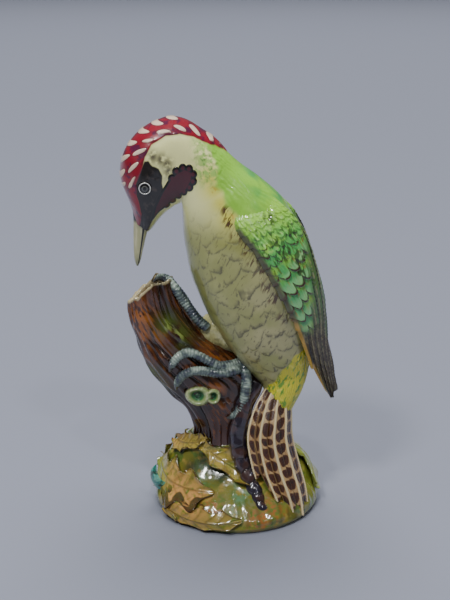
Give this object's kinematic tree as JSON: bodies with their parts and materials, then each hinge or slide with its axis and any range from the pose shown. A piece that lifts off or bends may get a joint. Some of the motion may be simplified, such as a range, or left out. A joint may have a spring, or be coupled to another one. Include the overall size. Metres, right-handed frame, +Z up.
{
  "type": "ceramic bird figurine",
  "caption": "Glazed ceramic woodpecker clinging to a broken branch on a round leafy base with a foot ring; head bent down, wings closed, fanned tail braced against the stump.",
  "frame": {"origin": "centre of the foot ring's flat underside, on the surface that the figurine stands on", "axes": "+Z up, -X the way the bird faces, -Y the bird's left side"},
  "size_m": [0.123, 0.0996, 0.2292],
  "materials": {
    "base_glaze": "gloss",
    "leaf_glaze": "gloss",
    "leaf_tip_glaze": "gloss",
    "bark_glaze": "gloss",
    "knot_glaze": "gloss",
    "root_glaze": "gloss",
    "breast_glaze": "gloss",
    "head_glaze": "gloss",
    "beak_glaze": "gloss",
    "eye_glaze": "gloss",
    "wing_glaze": "gloss",
    "flight_feather_glaze": "gloss",
    "rump_glaze": "gloss",
    "tail_glaze": "gloss",
    "foot_glaze": "gloss"
  },
  "bodies": {
    "root": {"base_mound": "base_glaze", "leaf_upper": "leaf_glaze", "leaf_left": "leaf_glaze", "leaf_centre": "leaf_glaze", "leaf_front": "leaf_glaze", "leaf_right": "leaf_glaze", "leaf_back": "leaf_glaze", "leaf_back_left": "leaf_glaze", "curled_leaf_tip": "leaf_tip_glaze", "stump": "bark_glaze", "branch": "bark_glaze", "branch_knot": "knot_glaze", "root": "root_glaze", "torso": "breast_glaze", "head": "head_glaze", "upper_mandible": "beak_glaze", "lower_mandible": "beak_glaze", "left_eye": "eye_glaze", "right_eye": "eye_glaze", "left_wing": "wing_glaze", "right_wing": "wing_glaze", "left_primaries": "flight_feather_glaze", "right_primaries": "flight_feather_glaze", "rump_coverts": "rump_glaze", "tail": "tail_glaze", "left_thigh": "breast_glaze", "right_thigh": "breast_glaze", "left_shank": "foot_glaze", "left_outer_toe": "foot_glaze", "left_inner_toe": "foot_glaze", "left_rear_toe": "foot_glaze", "right_shank": "foot_glaze", "right_outer_toe": "foot_glaze", "right_inner_toe": "foot_glaze", "right_rear_toe": "foot_glaze"}
  },
  "joints": []
}
